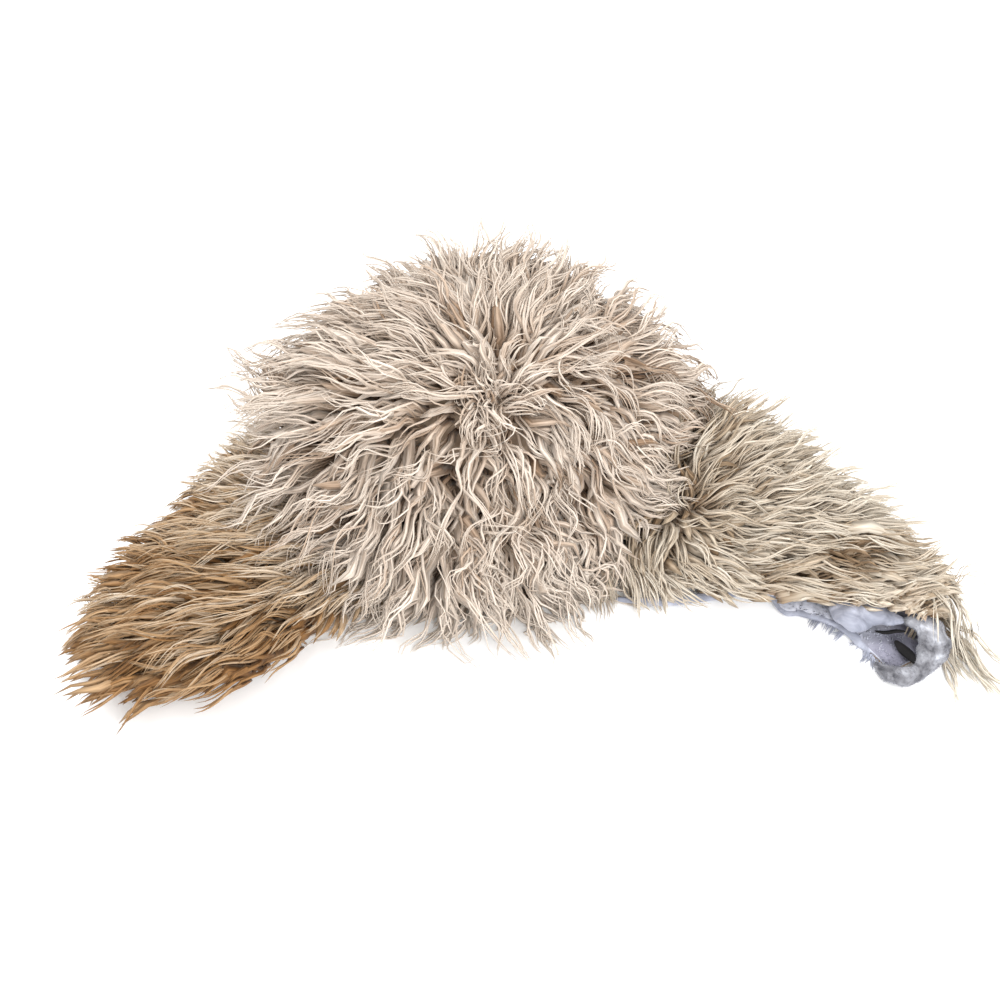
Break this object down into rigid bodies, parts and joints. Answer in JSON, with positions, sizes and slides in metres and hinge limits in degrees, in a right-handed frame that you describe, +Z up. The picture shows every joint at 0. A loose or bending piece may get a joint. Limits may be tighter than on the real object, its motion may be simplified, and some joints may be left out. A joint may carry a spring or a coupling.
{
  "type": "shaggy faux-fur hat with ear flaps",
  "caption": "Shaggy long-pile faux-fur hat lying open side down, with a domed crown, two broad spread ear flaps and a short plush lining, one flap rolled so that the lining shows.",
  "frame": {"origin": "on the table under the middle of the hat's box, flaps included", "axes": "+X towards the rolled flap, +Y away from the flap tips towards the back of the crown, +Z up"},
  "size_m": [0.5707, 0.3471, 0.1476],
  "materials": {
    "crown_fur": "long wavy faux-fur pile, cream tips over beige and taupe, soft satin strands",
    "left_flap_fur": "long combed faux-fur pile, beige turning tan towards the tip, soft satin strands",
    "right_flap_fur": "long loose faux-fur pile, beige turning pale greenish cream towards the tip",
    "plush_lining": "short crushed blue-grey plush, soft sheen, lighter on the folds"
  },
  "bodies": {
    "root": {"crown_fur": "crown_fur", "crown_lining": "plush_lining", "left_flap_fur": "left_flap_fur", "left_flap_lining": "plush_lining", "right_flap_fur": "right_flap_fur", "right_flap_lining": "plush_lining"}
  },
  "joints": []
}
